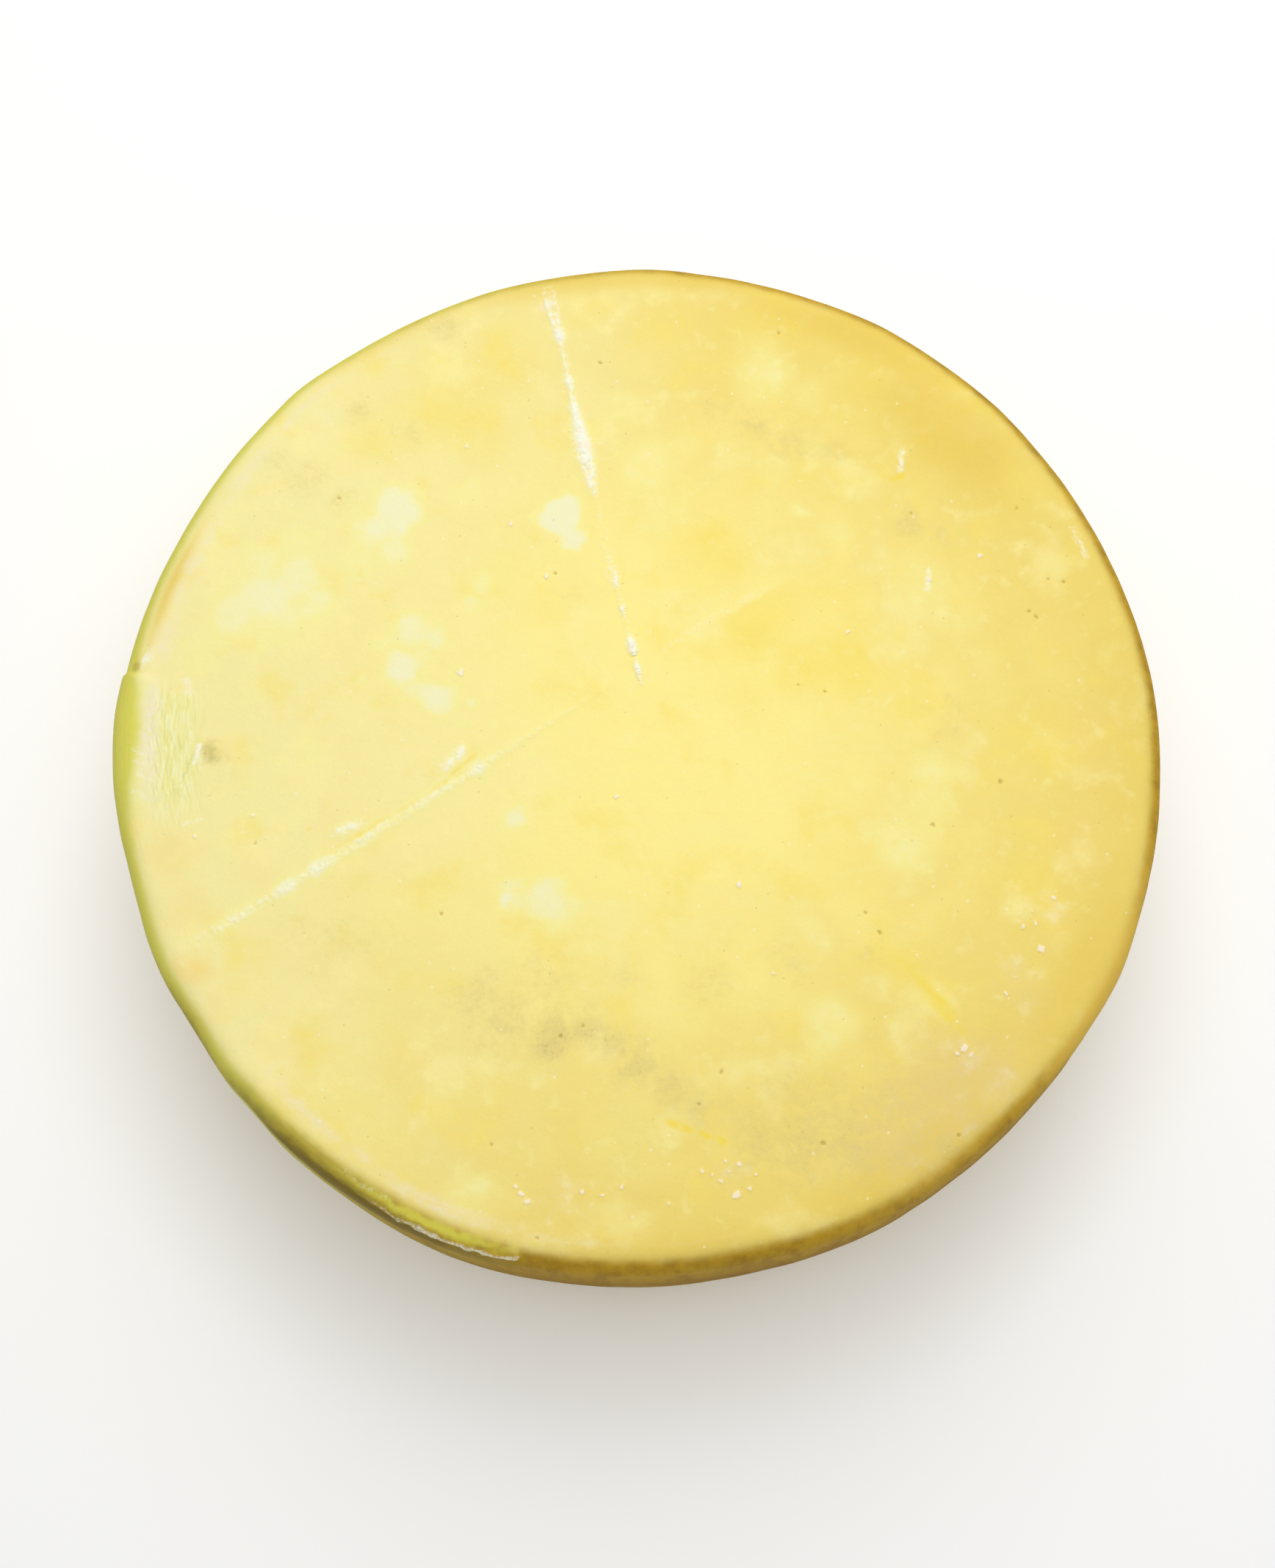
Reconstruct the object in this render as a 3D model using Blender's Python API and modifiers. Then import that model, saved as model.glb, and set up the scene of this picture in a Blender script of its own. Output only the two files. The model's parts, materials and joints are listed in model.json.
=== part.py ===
"""A whole wheel of roumy cheese, a hard yellow pressed cheese, as one solid.

The wheel stands on its flat foot with its axis along +Z. The origin is at the middle of
the foot. +X is to the right and -Y towards the viewer when the top is looked down on.
Units are metres, angles are degrees counted from +X towards +Y.
"""

import math

import bmesh
import bpy
from mathutils import Vector, noise

MM = 0.001

# The wheel as it leaves its mould
DIAMETER = 340 * MM
HEIGHT = 95 * MM
TOP_EDGE_ROUND = 9 * MM
FOOT_EDGE_ROUND = 10 * MM
SIDE_BULGE = 3 * MM

# How finely the round shape is cut
SPOKES = 144
TOP_EDGE_STEPS = 9
WALL_STEPS = 7
FOOT_EDGE_STEPS = 6
WELD = 0.01 * MM

# Flats, dents and swells of the side, from turning and handling the wheel while it was
# soft: the angle at the middle, how many degrees it reaches each way, and how far it
# stands out of the round
SIDE_SWELLS = (
    (28, 11, -0.6 * MM),
    (60, 5, 0.6 * MM),
    (88, 5, 0.7 * MM),
    (114, 10, -0.5 * MM),
    (133, 4, 0.8 * MM),
    (152, 8, -0.9 * MM),
    (178, 7, 1.0 * MM),
    (198, 6, -0.7 * MM),
    (214, 5, -1.1 * MM),
    (224, 3, -0.7 * MM),
    (250, 10, 1.2 * MM),
    (280, 8, -0.8 * MM),
    (312, 8, -0.5 * MM),
    (334, 6, 0.7 * MM),
)
SIDE_UNEVENNESS = 0.35 * MM
SIDE_LUMP_SIZE = 32 * MM

# Creases of the pressing cloth, which meet near the middle of the top. Each runs from
# its outer end by way of its middle to the inner end (x, y), with its half width and
# height where it is strongest, and that place as a share of its length
CREASES = (
    ("upper", ((-32, 155), (-17, 92), (0, 21)), 2.1 * MM, 0.7 * MM, 0.5),
    ("lower", ((-140, -69), (-73, -26), (-3, 22)), 1.8 * MM, 0.6 * MM, 0.45),
    ("right", ((76, 72), (37, 45), (1, 20)), 1.4 * MM, 0.4 * MM, 0.8),
)
CREASE_POINTS = 32
CREASE_TUBE = 3.4 * MM
CREASE_ROUNDNESS = 8
CREASE_END_SUNK = 0.2
CREASE_WAVER = 0.25
CREASE_WAVER_SIZE = 9 * MM

# Layers of rind that lie over the edge. A section is given by its outer corners, outward
# from the wall's radius and above the top, and by one corner within the wheel. A layer
# has its full thickness at the angle given first and sinks away towards the other one
PRESSED_LIP = (257, 229)
LIP_SECTION = ((-5.5, -0.8), (-2.4, -1.6), (0.3, -3.8), (1.9, -6.6), (1.7, -8.2), (-0.6, -10.4))
LIP_TOOTH = 0.6 * MM
THICK_WAX = (173, 194)
WAX_SECTION = ((-30, -0.1), (-22, 0.5), (-9, 0.6), (-4.3, -0.1), (-0.9, -2.4), (0.9, -6), (0.4, -15))
WAX_TOOTH = 0.3 * MM
LAYER_ROOT = (-9, -11)
LAYER_STEPS = 24
LAYER_SINK = 2.6 * MM
TOOTH_SIZE = 5 * MM

SHARPEST_SMOOTH_EDGE = 40

RIND_COLOUR = (0.89, 0.74, 0.27, 1.0)
RIND_ROUGHNESS = 0.42

WALL_RADIUS = DIAMETER / 2 - SIDE_BULGE
TOP_FLAT_RADIUS = WALL_RADIUS - TOP_EDGE_ROUND
FOOT_FLAT_RADIUS = WALL_RADIUS - FOOT_EDGE_ROUND


def clear_scene():
    """Removes every object, so that the file can be run again."""
    for thing in list(bpy.data.objects):
        bpy.data.objects.remove(thing)


def smooth_step(low, high, value):
    """Rises softly from 0 at low to 1 at high."""
    share = min(1.0, max(0.0, (value - low) / (high - low)))
    return share * share * (3 - 2 * share)


def lumps(point, size, seed):
    """Soft seeded unevenness between about -1 and 1."""
    return noise.noise(Vector(point) / size + Vector((seed, seed * 2, seed * 3)))


def degrees_of(point):
    """The angle of a point about the wheel's axis."""
    return math.degrees(math.atan2(point.y, point.x)) % 360


def arc(middle, radius, start, end, steps):
    """Points (x, z) along an arc, without its last one."""
    angles = [math.radians(start + (end - start) * n / steps) for n in range(steps)]
    return [
        (middle[0] + radius * math.cos(a), middle[1] + radius * math.sin(a))
        for a in angles
    ]


def wheel_profile():
    """Half of the wheel's cross-section, from the middle of the top to that of the foot."""
    wall_top = HEIGHT - TOP_EDGE_ROUND
    edge = arc((TOP_FLAT_RADIUS, wall_top), TOP_EDGE_ROUND, 90, 0, TOP_EDGE_STEPS)
    wall = []
    for n in range(WALL_STEPS):
        share = n / WALL_STEPS
        bulge = SIDE_BULGE * math.sin(math.pi * share)
        height = wall_top + (FOOT_EDGE_ROUND - wall_top) * share
        wall.append((WALL_RADIUS + bulge, height))
    heel = (FOOT_FLAT_RADIUS, FOOT_EDGE_ROUND)
    foot = arc(heel, FOOT_EDGE_ROUND, 0, -90, FOOT_EDGE_STEPS)
    return [(0, HEIGHT), *edge, *wall, *foot, (FOOT_FLAT_RADIUS, 0), (0, 0)]


def turned(name, points, closed, degrees, steps, collection):
    """A line of points in the XZ plane, turned about Z with a Screw modifier."""
    mesh = bpy.data.meshes.new(name)
    edges = [(n, n + 1) for n in range(len(points) - 1)]
    if closed:
        edges.append((len(points) - 1, 0))
    mesh.from_pydata([(x, 0, z) for x, z in points], edges, [])
    thing = bpy.data.objects.new(name, mesh)
    collection.objects.link(thing)
    screw = thing.modifiers.new("Turned", "SCREW")
    screw.axis = "Z"
    screw.angle = math.radians(degrees)
    screw.steps = steps
    screw.render_steps = steps
    screw.use_merge_vertices = degrees == 360
    screw.merge_threshold = WELD
    return made_mesh(thing, collection)


def made_mesh(thing, collection):
    """Replaces an object by a closed, outward-facing mesh of its evaluated shape."""
    name = thing.name
    bpy.context.view_layer.update()
    shown = thing.evaluated_get(bpy.context.evaluated_depsgraph_get())
    mesh = bpy.data.meshes.new_from_object(shown)
    cage = bmesh.new()
    cage.from_mesh(mesh)
    bmesh.ops.remove_doubles(cage, verts=cage.verts, dist=WELD)
    bmesh.ops.holes_fill(cage, edges=cage.edges, sides=0)
    bmesh.ops.recalc_face_normals(cage, faces=cage.faces)
    cage.to_mesh(mesh)
    cage.free()
    bpy.data.objects.remove(thing)
    solid = bpy.data.objects.new(name, mesh)
    collection.objects.link(solid)
    return solid


def side_offset(point):
    """How far the side stands out of the round at a point."""
    total = SIDE_UNEVENNESS * lumps(point, SIDE_LUMP_SIZE, 4)
    for middle, reach, height in SIDE_SWELLS:
        away = (degrees_of(point) - middle + 180) % 360 - 180
        total += height * math.exp(-((away / reach) ** 2))
    return total


def handled(point):
    """Moves a point of the true round to where the handled wheel has it."""
    radius = math.hypot(point.x, point.y)
    share = smooth_step(0.6 * TOP_FLAT_RADIUS, TOP_FLAT_RADIUS, radius)
    outward = Vector((point.x, point.y, 0)).normalized()
    return point + outward * side_offset(point) * share


def wheel_body(collection):
    """The turned wheel with its flats and swells, and one flat face above and below."""
    wheel = turned("cheese_wheel", wheel_profile(), False, 360, SPOKES, collection)
    for corner in wheel.data.vertices:
        corner.co = handled(corner.co)
    cage = bmesh.new()
    cage.from_mesh(wheel.data)
    for height in (0, HEIGHT):
        flat = [f for f in cage.faces if all(abs(v.co.z - height) < WELD for v in f.verts)]
        bmesh.ops.dissolve_faces(cage, faces=flat, use_verts=True)
    cage.to_mesh(wheel.data)
    cage.free()
    return wheel


def crease(collection, name, route, half_width, height, strongest):
    """A low ridge left by a fold of the cloth, as a tube sunk in the top."""
    curve = bpy.data.curves.new(f"crease_{name}", "CURVE")
    curve.dimensions = "3D"
    curve.bevel_depth = CREASE_TUBE
    curve.bevel_resolution = CREASE_ROUNDNESS
    curve.use_fill_caps = True
    spline = curve.splines.new("POLY")
    spline.points.add(CREASE_POINTS - 1)
    start, middle, end = (Vector(p) * MM for p in route)
    control = 2 * middle - (start + end) / 2
    radius = (half_width**2 + height**2) / (2 * height)
    for n, point in enumerate(spline.points):
        share = n / (CREASE_POINTS - 1)
        place = start.lerp(control, share).lerp(control.lerp(end, share), share)
        reach = strongest if share < strongest else 1 - strongest
        strength = math.sqrt(max(0.0, 1 - ((share - strongest) / reach) ** 2))
        strength *= 1 + CREASE_WAVER * lumps((*place, 0), CREASE_WAVER_SIZE, 5)
        proud = height * (strength - CREASE_END_SUNK * (1 - strength))
        point.co = (*place, HEIGHT + proud - radius, 1)
        point.radius = radius / CREASE_TUBE
    tube = bpy.data.objects.new(curve.name, curve)
    collection.objects.link(tube)
    made_mesh(tube, collection)


def layer(collection, name, angles, section, tooth):
    """A layer of rind over the edge, torn off at one end and sinking away at the other."""
    thick, thin = angles
    corners = [Vector(corner) * MM for corner in (*section, LAYER_ROOT)]
    points = [(WALL_RADIUS + outward, HEIGHT + above) for outward, above in corners]
    strip = turned(name, points, True, abs(thin - thick), LAYER_STEPS, collection)
    start = math.radians(min(angles))
    root = Vector(points[-1])
    for corner in strip.data.vertices:
        x, y, z = corner.co
        angle = math.atan2(y, x) + start
        sunk = smooth_step(0.15, 1, abs(math.degrees(angle) - thick) / abs(thin - thick))
        across = Vector((math.hypot(x, y), z))
        inward = root - across
        if inward.length > WELD:
            torn = tooth * lumps((x, y, 0), TOOTH_SIZE, 2) * (1 - sunk)
            across += inward.normalized() * (LAYER_SINK * sunk + torn)
        turned_to = Vector((math.cos(angle), math.sin(angle), 0)) * across.x
        corner.co = handled(turned_to + Vector((0, 0, across.y)))


def join(wheel, extras):
    """Fuses everything in a collection into the wheel with one Boolean union."""
    union = wheel.modifiers.new("Fused", "BOOLEAN")
    union.operation = "UNION"
    union.operand_type = "COLLECTION"
    union.collection = extras
    union.solver = "EXACT"
    bpy.context.view_layer.update()
    shown = wheel.evaluated_get(bpy.context.evaluated_depsgraph_get())
    fused = bpy.data.meshes.new_from_object(shown)
    wheel.modifiers.clear()
    wheel.data = fused
    for thing in list(extras.objects):
        bpy.data.objects.remove(thing)
    bpy.data.collections.remove(extras)


def centre_on_origin(wheel):
    """Puts the middle of the wheel's outline over the origin, with the foot at z 0."""
    corners = [corner.co for corner in wheel.data.vertices]
    shift = Vector((0, 0, -min(c.z for c in corners)))
    for axis in (0, 1):
        values = [c[axis] for c in corners]
        shift[axis] = -(min(values) + max(values)) / 2
    for corner in wheel.data.vertices:
        corner.co += shift


def rind_material():
    """The waxed yellow rind."""
    material = bpy.data.materials.new("rind")
    material.use_nodes = True
    shader = material.node_tree.nodes["Principled BSDF"]
    shader.inputs["Base Color"].default_value = RIND_COLOUR
    shader.inputs["Roughness"].default_value = RIND_ROUGHNESS
    shader.inputs["Metallic"].default_value = 0.0
    return material


def main():
    clear_scene()
    parts = bpy.data.collections.new("roumy_cheese")
    extras = bpy.data.collections.new("fused_on")
    for collection in (parts, extras):
        bpy.context.scene.collection.children.link(collection)
    wheel = wheel_body(parts)
    for shape in CREASES:
        crease(extras, *shape)
    layer(extras, "pressed_lip", PRESSED_LIP, LIP_SECTION, LIP_TOOTH)
    layer(extras, "thick_wax", THICK_WAX, WAX_SECTION, WAX_TOOTH)
    join(wheel, extras)
    centre_on_origin(wheel)
    wheel.data.materials.clear()
    wheel.data.materials.append(rind_material())
    wheel.data.shade_smooth()
    wheel.data.set_sharp_from_angle(angle=math.radians(SHARPEST_SMOOTH_EDGE))
    shading = wheel.modifiers.new("Shading led by the large faces", "WEIGHTED_NORMAL")
    shading.keep_sharp = True


main()
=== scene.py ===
# %% [markdown]
# # A wheel of roumy cheese
# Roumy is a hard yellow cheese. The curd is pressed in a round mould, lined with cloth, and
# the wheel is then turned, rubbed and coated by hand while it ripens. This lesson makes one
# whole wheel: a body turned from a profile, marks of the cloth and of handling worked into
# its surface, and a rind painted with soft layers of colour.
#
# The wheel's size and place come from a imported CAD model, so that is loaded first.

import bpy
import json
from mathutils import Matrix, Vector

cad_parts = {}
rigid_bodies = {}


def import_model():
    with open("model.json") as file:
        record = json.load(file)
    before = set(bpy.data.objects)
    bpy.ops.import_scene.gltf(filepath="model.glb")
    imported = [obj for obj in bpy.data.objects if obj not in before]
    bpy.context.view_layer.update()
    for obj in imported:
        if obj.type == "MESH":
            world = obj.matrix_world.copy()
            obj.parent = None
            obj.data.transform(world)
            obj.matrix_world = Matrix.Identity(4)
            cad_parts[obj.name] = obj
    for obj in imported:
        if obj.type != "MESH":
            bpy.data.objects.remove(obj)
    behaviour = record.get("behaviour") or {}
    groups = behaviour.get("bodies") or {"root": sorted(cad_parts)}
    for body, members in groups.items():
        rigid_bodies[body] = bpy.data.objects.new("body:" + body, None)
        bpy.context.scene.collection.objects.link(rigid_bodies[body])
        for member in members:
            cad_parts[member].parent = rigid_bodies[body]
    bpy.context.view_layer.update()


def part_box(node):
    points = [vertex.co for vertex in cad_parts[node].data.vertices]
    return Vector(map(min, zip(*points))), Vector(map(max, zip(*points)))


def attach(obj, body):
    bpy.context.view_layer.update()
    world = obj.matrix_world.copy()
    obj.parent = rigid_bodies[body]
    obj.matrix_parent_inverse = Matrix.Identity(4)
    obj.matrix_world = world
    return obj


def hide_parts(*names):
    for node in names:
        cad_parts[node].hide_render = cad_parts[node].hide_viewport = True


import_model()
wheel_low, wheel_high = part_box("cheese_wheel")
print("the wheel's box in mm:", [round(1000 * side, 1) for side in wheel_high - wheel_low])

# %% The other modules, and the unit
import json
import math

import bmesh
import bpy
import numpy as np
from mathutils import Vector, noise

MM = 0.001

# %% [markdown]
# ## The camera
# The picture looks down on the wheel, a little from the front. The camera stands 0.6 m from
# the middle of the top and leans 16.5 degrees off the wheel's axis. A longer lens from
# further away would flatten the rim, and the lower edge would show less of its wall.

# %% Place the camera
HEIGHT = 95 * MM
CAMERA_DISTANCE = 0.6
CAMERA_TILT = math.radians(16.5)
AIM = Vector((0, -17.26 * MM, HEIGHT))
LENS = 43.46

camera = bpy.data.objects.new("camera", bpy.data.cameras.new("camera"))
camera.data.lens = LENS
camera.location = (
    0,
    -CAMERA_DISTANCE * math.sin(CAMERA_TILT),
    HEIGHT + CAMERA_DISTANCE * math.cos(CAMERA_TILT),
)
camera.rotation_mode = "QUATERNION"
camera.rotation_quaternion = (AIM - camera.location).to_track_quat("-Z", "Y")
bpy.context.scene.collection.objects.link(camera)
bpy.context.scene.camera = camera
print("camera at", [round(c, 3) for c in camera.location])

# %% [markdown]
# ## The turned body
# A wheel of cheese could start as a cylinder with its two rims bevelled. Here its profile is
# drawn first, because each stretch of it can then get its own fineness: 2.5 mm steps on
# the top, which the camera sees closest, and longer ones on the wall and underneath. The
# profile is four points in the XZ plane. Bevelling the two outer ones rounds the top edge
# by 9 mm and the foot by 10 mm, and subdividing fills in the steps.

# %% Draw the profile
WALL_RADIUS = 167 * MM
TOP_EDGE_ROUND = 9 * MM
FOOT_EDGE_ROUND = 10 * MM
EDGE_SEGMENTS = 8
TOP_MIDDLE = 60 * MM
FOOT_MIDDLE = 20 * MM
TOP_STEP = 2.5 * MM
WALL_STEP = 3.5 * MM
FOOT_STEP = 8 * MM

cage = bmesh.new()
top_in = cage.verts.new((TOP_MIDDLE, 0, HEIGHT))
top_out = cage.verts.new((WALL_RADIUS, 0, HEIGHT))
foot_out = cage.verts.new((WALL_RADIUS, 0, 0))
foot_in = cage.verts.new((FOOT_MIDDLE, 0, 0))
for start, end in ((top_in, top_out), (top_out, foot_out), (foot_out, foot_in)):
    cage.edges.new((start, end))
for corner, rounding in ((top_out, TOP_EDGE_ROUND), (foot_out, FOOT_EDGE_ROUND)):
    bmesh.ops.bevel(
        cage, geom=[corner], offset=rounding, segments=EDGE_SEGMENTS, profile=0.5,
        affect="VERTICES", material=-1,
    )
for edge in list(cage.edges):
    heights = [v.co.z for v in edge.verts]
    step = TOP_STEP if min(heights) > 0.9 * HEIGHT else WALL_STEP
    step = FOOT_STEP if max(heights) < MM else step
    cuts = round(edge.calc_length() / step) - 1
    if cuts > 0:
        bmesh.ops.subdivide_edges(cage, edges=[edge], cuts=cuts)
print("profile points:", len(cage.verts))

# %% [markdown]
# A full spin in fine steps is slow, because each step looks at all that is already there. A
# quarter turn, mirrored twice, gives the same body in a tenth of the time. A turned top
# would end in a pole, where hundreds of slivers meet, just where the cloth's creases meet
# too. So the spin stops 60 mm from the axis and `grid_fill` lays an even net over the
# middle. Mirroring turns faces over, so the normals are worked out at the end.

# %% Turn and close the body
QUARTER_STEPS = 80
WELD = 0.01 * MM

bmesh.ops.spin(
    cage, geom=cage.verts[:] + cage.edges[:], axis=(0, 0, 1), cent=(0, 0, 0),
    angle=math.pi / 2, steps=QUARTER_STEPS, use_merge=False,
)
for axis in ("X", "Y"):
    every_part = cage.verts[:] + cage.edges[:] + cage.faces[:]
    bmesh.ops.mirror(cage, geom=every_part, axis=axis, merge_dist=WELD)
bmesh.ops.remove_doubles(cage, verts=cage.verts, dist=WELD)


def middle_of(edge):
    """The middle of an edge."""
    return (edge.verts[0].co + edge.verts[1].co) / 2


hole = [edge for edge in cage.edges if edge.is_boundary and middle_of(edge).z > HEIGHT / 2]
facing_arcs = [edge for edge in hole if middle_of(edge).x * middle_of(edge).y > 0]
bmesh.ops.grid_fill(cage, edges=facing_arcs)
bmesh.ops.holes_fill(cage, edges=[edge for edge in cage.edges if edge.is_boundary], sides=0)
bmesh.ops.recalc_face_normals(cage, faces=cage.faces)
print("body:", len(cage.faces), "faces, open edges:", sum(e.is_boundary for e in cage.edges))

# %% [markdown]
# ## What marks the surface
# Marks are listed once, in millimetres on the top, and each list is used three times: to
# make the net finer where the mark lies, to raise or sink the surface, and to paint it.
# +X is to the right and +Y away from the camera.
#
# The cloth in the mould leaves three creases that meet near the middle. They are ridges
# with a rubbed, whitish crest, strong in some places and gone in others. So each has its
# height in mm, the whiteness of its crest from 0 to 1, and two lists of pairs: a share of
# its length, with how strong it is there, and with half its width in mm there.

# %% List the creases
CREASES = {
    "upper": {
        "route": ((-30.3, 158), (-16, 88), (1.2, 15)),
        "height": 0.8,
        "whiteness": 1.0,
        "strength": (
            (0, 0.15), (0.08, 0.25), (0.115, 0.45), (0.135, 1.1), (0.155, 0.7), (0.17, 0.3),
            (0.21, 0.4), (0.235, 0.25), (0.255, 0.75), (0.285, 0.4), (0.31, 0.6), (0.36, 0.85),
            (0.42, 1.1), (0.49, 0.8), (0.53, 0.5), (0.56, 0.12), (0.66, 0.12), (0.73, 0.25),
            (0.757, 0.5), (0.78, 0.15), (0.805, 0.25), (0.817, 0.8), (0.84, 0.2), (0.88, 0.3),
            (0.898, 0.95), (0.918, 0.95), (0.932, 0.15), (0.948, 0.7), (0.97, 0.75), (1, 0),
        ),
        "half_width": (
            (0, 1.8), (0.1, 1.6), (0.135, 1.7), (0.17, 1.0), (0.21, 1.3), (0.255, 1.4),
            (0.29, 1.2), (0.36, 1.8), (0.42, 2.3), (0.49, 2.1), (0.54, 1.4), (0.62, 2.4),
            (0.74, 2.4), (0.78, 0.8), (0.817, 0.9), (0.86, 0.4), (0.89, 1.3), (0.92, 1.3),
            (0.93, 0.5), (0.955, 1.0), (1, 0.4),
        ),
    },
    "left strand": {
        "route": ((-32.2, 157), (-30.2, 148), (-27.8, 140)),
        "height": 0.4,
        "whiteness": 0.9,
        "strength": ((0, 0.2), (0.3, 0.5), (1, 0.5)),
        "half_width": ((0, 0.9), (1, 0.8)),
    },
    "right strand": {
        "route": ((-28.8, 157), (-27.9, 149), (-26.6, 141)),
        "height": 0.4,
        "whiteness": 0.9,
        "strength": ((0, 0.15), (0.4, 0.5), (1, 0.6)),
        "half_width": ((0, 0.9), (1, 0.8)),
    },
    "lower": {
        "route": ((-140, -69.5), (-75, -27.6), (-5, 19)),
        "height": 0.6,
        "whiteness": 0.6,
        "strength": (
            (0, 0.2), (0.06, 0.35), (0.12, 0.5), (0.2, 0.35), (0.24, 0.75), (0.28, 0.4),
            (0.31, 0.8), (0.36, 0.4), (0.43, 0.5), (0.5, 0.4), (0.58, 0.5), (0.65, 0.4),
            (0.68, 0.65), (0.71, 0.3), (0.78, 0.35), (0.86, 0.25), (0.93, 0.15), (1, 0),
        ),
        "half_width": (
            (0, 2.2), (0.12, 2.2), (0.24, 1.8), (0.45, 1.7), (0.65, 1.7), (0.68, 2.0),
            (0.74, 1.4), (1, 0.8),
        ),
    },
    "dash by the lower crease": {
        "route": ((-96, -32.8), (-90.5, -30.8), (-85, -28.5)),
        "height": 0.4,
        "whiteness": 0.95,
        "strength": ((0, 0.2), (0.3, 0.6), (0.7, 0.5), (1, 0)),
        "half_width": ((0, 1.4), (1, 1.6)),
    },
    "dash nearer the middle": {
        "route": ((-63, -14), (-58.5, -8.5), (-54, -3.5)),
        "height": 0.4,
        "whiteness": 0.95,
        "strength": ((0, 0.2), (0.3, 0.5), (0.8, 0.45), (1, 0)),
        "half_width": ((0, 1.8), (1, 2.2)),
    },
    "right": {
        "route": ((52, 55), (27, 40.5), (-1, 22)),
        "height": 0.3,
        "whiteness": 0.8,
        "strength": ((0, 0), (0.2, 0.15), (0.5, 0.22), (0.8, 0.18), (1, 0)),
        "half_width": ((0, 1.2), (0.5, 1.6), (1, 1.2)),
    },
}
CREASE_SAMPLES = 160


def along(route, share):
    """Points on the smooth curve through the start, middle and end of a route."""
    start, middle, end = (np.array(point, float) for point in route)
    control = 2 * middle - (start + end) / 2
    share = np.asarray(share)[:, None]
    first = start + (control - start) * share
    second = control + (end - control) * share
    return first + (second - first) * share


CREASE_SHARES = np.linspace(0, 1, CREASE_SAMPLES)
crease_lines = {name: along(crease["route"], CREASE_SHARES) for name, crease in CREASES.items()}
print("creases:", ", ".join(CREASES))

# %% [markdown]
# The other marks are spots. Pale patches are places where the coating is thin over drier
# rind; white specks are crumbs of mould or wax; pits are where a curd grain fell out. A
# patch is (x, y), its reach and its strength, a speck or a pit is (x, y) and its radius.

# %% List the patches, specks and pits
PALE_PATCHES = (
    ((-119, 46), 13, 0.88), ((-130, 41), 12, 0.8), ((-110, 52), 11, 0.8), ((-104, 44), 10, 0.75),
    ((-92, 58), 9, 0.6), ((-122, 56), 10, 0.7), ((-124, 34), 9, 0.6), ((-114, 38), 9, 0.7),
    ((-80, 77), 10, 1.0), ((-85, 70), 9, 0.9), ((-79, 62), 9, 0.8), ((-90, 66), 8, 0.6),
    ((-101, 95), 10, 0.4), ((-114, 62), 12, 0.6), ((-140, 26), 10, 0.5), ((-95, 75), 9, 0.45),
    ((-57, 81), 8, 0.6), ((-25.5, 74), 8.5, 1.3), ((-22, 65), 5.5, 1.0), ((-20, 84), 8, 0.4),
    ((-50, 50), 5.5, 0.7), ((-54, 43), 6, 0.7), ((-73, 35), 9, 0.82), ((-66, 31), 8, 0.78),
    ((-69, 25), 7, 0.7), ((-79, 28), 7, 0.6), ((-76, 21), 7.5, 1.0), ((-65, 12), 7.5, 0.95),
    ((-71, 14), 6, 0.7), ((-84, 30), 5, 0.6), ((-60, 21), 6, 0.5), ((-100, -40), 3.5, 0.6),
    ((-92, -31), 3.5, 0.5), ((-88, 18), 2.6, 0.7), ((-63, 5), 4, 0.5), ((-105, -6), 6, 0.5),
    ((-53, 10), 2.4, 0.8), ((-56, 3), 2.5, 0.6), ((-46, 3), 2.2, 0.6), ((-39, -28), 5, 0.82),
    ((0, -128), 18, 0.35), ((-30, -130), 12, 0.25), ((-29, -54), 10, 0.82), ((-22, -56), 7, 0.65),
    ((-38, -52), 8, 0.72), ((-41.5, -54), 2.4, 1.1), ((-5, 112), 11, 0.4), ((2, 92), 13, 0.62),
    ((8, 76), 12, 0.42), ((14, 98), 10, 0.36), ((42, 126), 13, 0.62), ((56, 118), 9, 0.45),
    ((30, 97), 9, 0.36), ((44, 90), 9, 0.4), ((58, 98), 8, 0.38), ((72, 86), 9, 0.42),
    ((86, 98), 5, 0.45), ((52, 76), 4.5, 0.6), ((65, 68), 6, 0.45), ((93, 50), 13, 0.5),
    ((84, 46), 8, 0.4), ((103, 36), 10, 0.4), ((110, 24), 8, 0.35), ((93, -13), 11, 0.6),
    ((92, -22), 10, 0.55), ((86, -29), 10, 0.5), ((83, -37), 11, 0.62), ((88, -31), 8, 0.5),
    ((58, -92), 10, 0.62), ((56, -99), 7, 0.5), ((-126, 15), 12, 0.3), ((-118, -20), 14, 0.3),
    ((-104, -4), 5, 0.5), ((-50, -143), 11, 0.5), ((-38, -142), 8, 0.35), ((-46, -140), 5, 0.6),
)
SPECKS = (
    ((29, -144), 1.2), ((22, -138), 0.5), ((24.5, -140), 0.7), ((30, -135), 0.8),
    ((27, -137), 0.4), ((35, -138), 0.5), ((19, -137), 0.5), ((33, -142), 0.5), ((26, -134), 0.4),
    ((112, -83), 0.6), ((122, -61), 0.6), ((128, -53), 0.6), ((123, -69), 1.2), ((115, -78), 0.5),
    ((118, -62), 0.5), ((121, -57), 0.5), ((99, -100), 1.1), ((96.5, -101.5), 0.7),
    ((101, -102), 0.7), ((-35, -142), 0.8), ((-33, -144.5), 0.7), ((-36.5, -140), 0.5),
    ((-17, -142), 0.5), ((-11, -143), 0.4), ((-5, -141), 0.5), ((9, -146), 0.4), ((31, -49), 0.8),
    ((41, -77), 0.5), ((-57, 99), 0.8), ((-42, 71), 0.7), ((-30, 53), 0.9), ((-57, 20), 1.1),
    ((67, 34), 0.9), ((111, 60), 0.8), ((-7, -21), 0.6), ((86.5, 92), 0.7), ((-121, -27), 0.7),
    ((-139, -34), 0.6), ((94, 52), 0.8), ((-100, -127), 0.5),
)
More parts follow.
